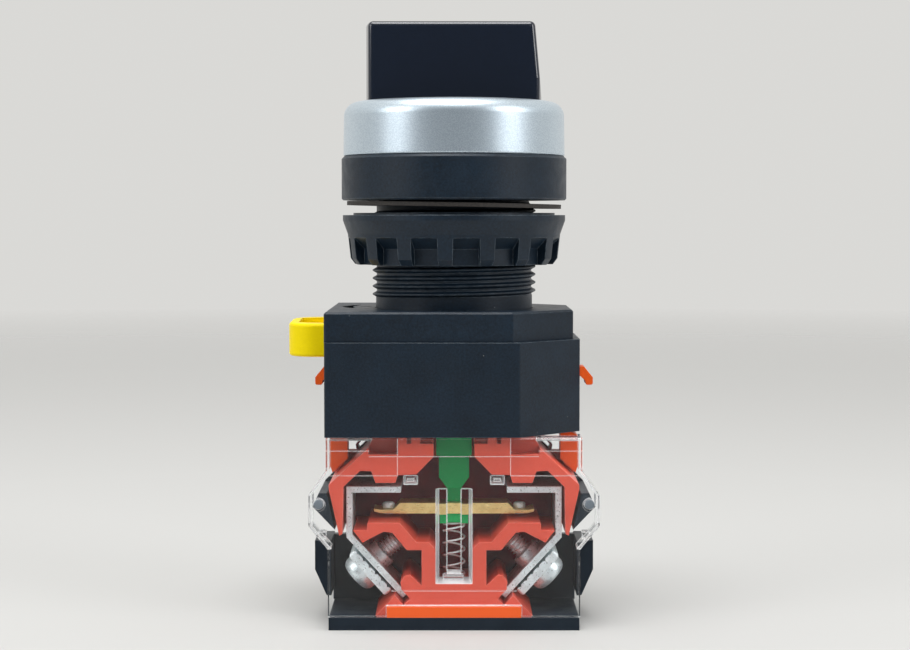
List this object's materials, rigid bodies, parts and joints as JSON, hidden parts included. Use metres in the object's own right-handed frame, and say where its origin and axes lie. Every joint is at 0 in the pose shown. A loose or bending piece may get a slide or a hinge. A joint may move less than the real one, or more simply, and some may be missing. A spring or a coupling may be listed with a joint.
{
  "type": "selector switch",
  "caption": "Panel-mount selector switch: blade handle, silver bezel, panel nut, yellow lock lever and a clear-covered clip-on contact block",
  "frame": {"origin": "on the neck's axis in the plane of the collar's underside, which is the front face of the panel", "axes": "+Z out of the panel towards the handle, +X along the handle's blade at rest, -Y towards the contact block's clear face"},
  "size_m": [0.0405, 0.03, 0.0784],
  "materials": {
    "black_gloss": "moulded, slightly glossy",
    "black_matte": "fine-grain moulded",
    "silver_paint": "satin metallic",
    "white_plastic": "gloss",
    "gasket_rubber": "matte",
    "yellow_plastic": "moulded",
    "red_plastic": "moulded",
    "green_plastic": "moulded",
    "clear_cover": "polished clear moulding",
    "brass": "rolled strip",
    "silver_tip": "burnished rivets",
    "nickel_steel": "nickel plated",
    "spring_steel": "bright wire",
    "natural_nylon": "moulded"
  },
  "bodies": {
    "switch_body": {"head_housing": "black_matte", "bezel": "silver_paint", "shaft_seal": "gasket_rubber", "body_cap": "black_matte", "body_shell": "black_matte", "contact_housing": "black_matte", "contact_frame": "red_plastic", "contact_cover": "clear_cover", "fixed_tips": "silver_tip", "terminal_left": "nickel_steel", "terminal_right": "nickel_steel", "pusher_spring_front": "spring_steel", "pusher_spring_rear": "spring_steel", "return_spring": "spring_steel"},
    "knob": {"knob": "black_gloss", "knob_indicator": "white_plastic", "rotor_cam": "natural_nylon", "knob_screw": "nickel_steel", "detent_balls": "spring_steel", "detent_springs": "spring_steel"},
    "front_pusher": {"pusher_front": "natural_nylon"},
    "rear_pusher": {"pusher_rear": "natural_nylon"},
    "plunger": {"plunger": "green_plastic", "bridge": "brass", "bridge_tips": "silver_tip"},
    "panel_gasket": {"panel_gasket": "gasket_rubber"},
    "lock_nut": {"lock_nut": "black_matte"},
    "lock_ring": {"bayonet_ring": "yellow_plastic"},
    "latch_left": {"latch_left": "red_plastic"},
    "latch_right": {"latch_right": "red_plastic"},
    "clamp_left": {"clamp_washer_left": "nickel_steel"},
    "clamp_right": {"clamp_washer_right": "nickel_steel"},
    "screw_left": {"terminal_screw_left": "nickel_steel"},
    "screw_right": {"terminal_screw_right": "nickel_steel"}
  },
  "joints": [
    {"name": "knob_turn", "type": "hinge", "parent": "switch_body", "child": "knob", "pos_m": [0, 0, 0], "axis": [0, 0, 1], "range_deg": [-90, 0]},
    {"name": "front_pusher_slide", "type": "slide", "parent": "switch_body", "child": "front_pusher", "axis": [0, 0, 1], "range_m": [0, 0.00125], "deforming": ["pusher_spring_front"]},
    {"name": "rear_pusher_slide", "type": "slide", "parent": "switch_body", "child": "rear_pusher", "axis": [0, 0, 1], "range_m": [-0.00125, 0], "deforming": ["pusher_spring_rear"]},
    {"name": "plunger_slide", "type": "slide", "parent": "switch_body", "child": "plunger", "axis": [0, 0, 1], "range_m": [0, 0.00125], "deforming": ["return_spring"]},
    {"name": "gasket_slide", "type": "slide", "parent": "switch_body", "child": "panel_gasket", "axis": [0, 0, 1], "range_m": [-0.005, 0]},
    {"name": "nut_turn", "type": "hinge", "parent": "panel_gasket", "child": "lock_nut", "pos_m": [0, 0, 0], "axis": [0, 0, 1], "range_deg": [-1698, 0]},
    {"name": "lock_ring_turn", "type": "hinge", "parent": "switch_body", "child": "lock_ring", "pos_m": [0, 0, 0], "axis": [0, 0, 1], "range_deg": [-20, 0]},
    {"name": "latch_left_flex", "type": "hinge", "parent": "switch_body", "child": "latch_left", "pos_m": [-0.015, -0.005, -0.0346], "axis": [0, 1, 0], "range_deg": [0, 6], "stiffness_Nm_per_rad": 0.02},
    {"name": "clamp_left_slide", "type": "slide", "parent": "switch_body", "child": "clamp_left", "axis": [-0.7373, 0, -0.6756], "range_m": [-0.0003, 0.0016]},
    {"name": "screw_left_turn", "type": "hinge", "parent": "clamp_left", "child": "screw_left", "pos_m": [-0.0101, -0.0075, -0.0468], "axis": [-0.7373, 0, -0.6756], "range_deg": [-240, 1280]},
    {"name": "latch_right_flex", "type": "hinge", "parent": "switch_body", "child": "latch_right", "pos_m": [0.015, -0.005, -0.0346], "axis": [0, -1, 0], "range_deg": [0, 6], "stiffness_Nm_per_rad": 0.02},
    {"name": "clamp_right_slide", "type": "slide", "parent": "switch_body", "child": "clamp_right", "axis": [0.7373, 0, -0.6756], "range_m": [-0.0003, 0.0016]},
    {"name": "screw_right_turn", "type": "hinge", "parent": "clamp_right", "child": "screw_right", "pos_m": [0.0101, -0.0075, -0.0468], "axis": [0.7373, 0, -0.6756], "range_deg": [-240, 1280]}
  ],
  "couplings": [
    {"joint": "front_pusher_slide", "follows": "knob_turn", "m_per_rad": -0.0007957},
    {"joint": "rear_pusher_slide", "follows": "knob_turn", "m_per_rad": 0.0007957},
    {"joint": "plunger_slide", "follows": "knob_turn", "m_per_rad": -0.0007957},
    {"joint": "gasket_slide", "follows": "nut_turn", "m_per_rad": 0.0001687},
    {"joint": "screw_left_turn", "follows": "clamp_left_slide", "rad_per_m": 13963},
    {"joint": "screw_right_turn", "follows": "clamp_right_slide", "rad_per_m": 13963}
  ]
}
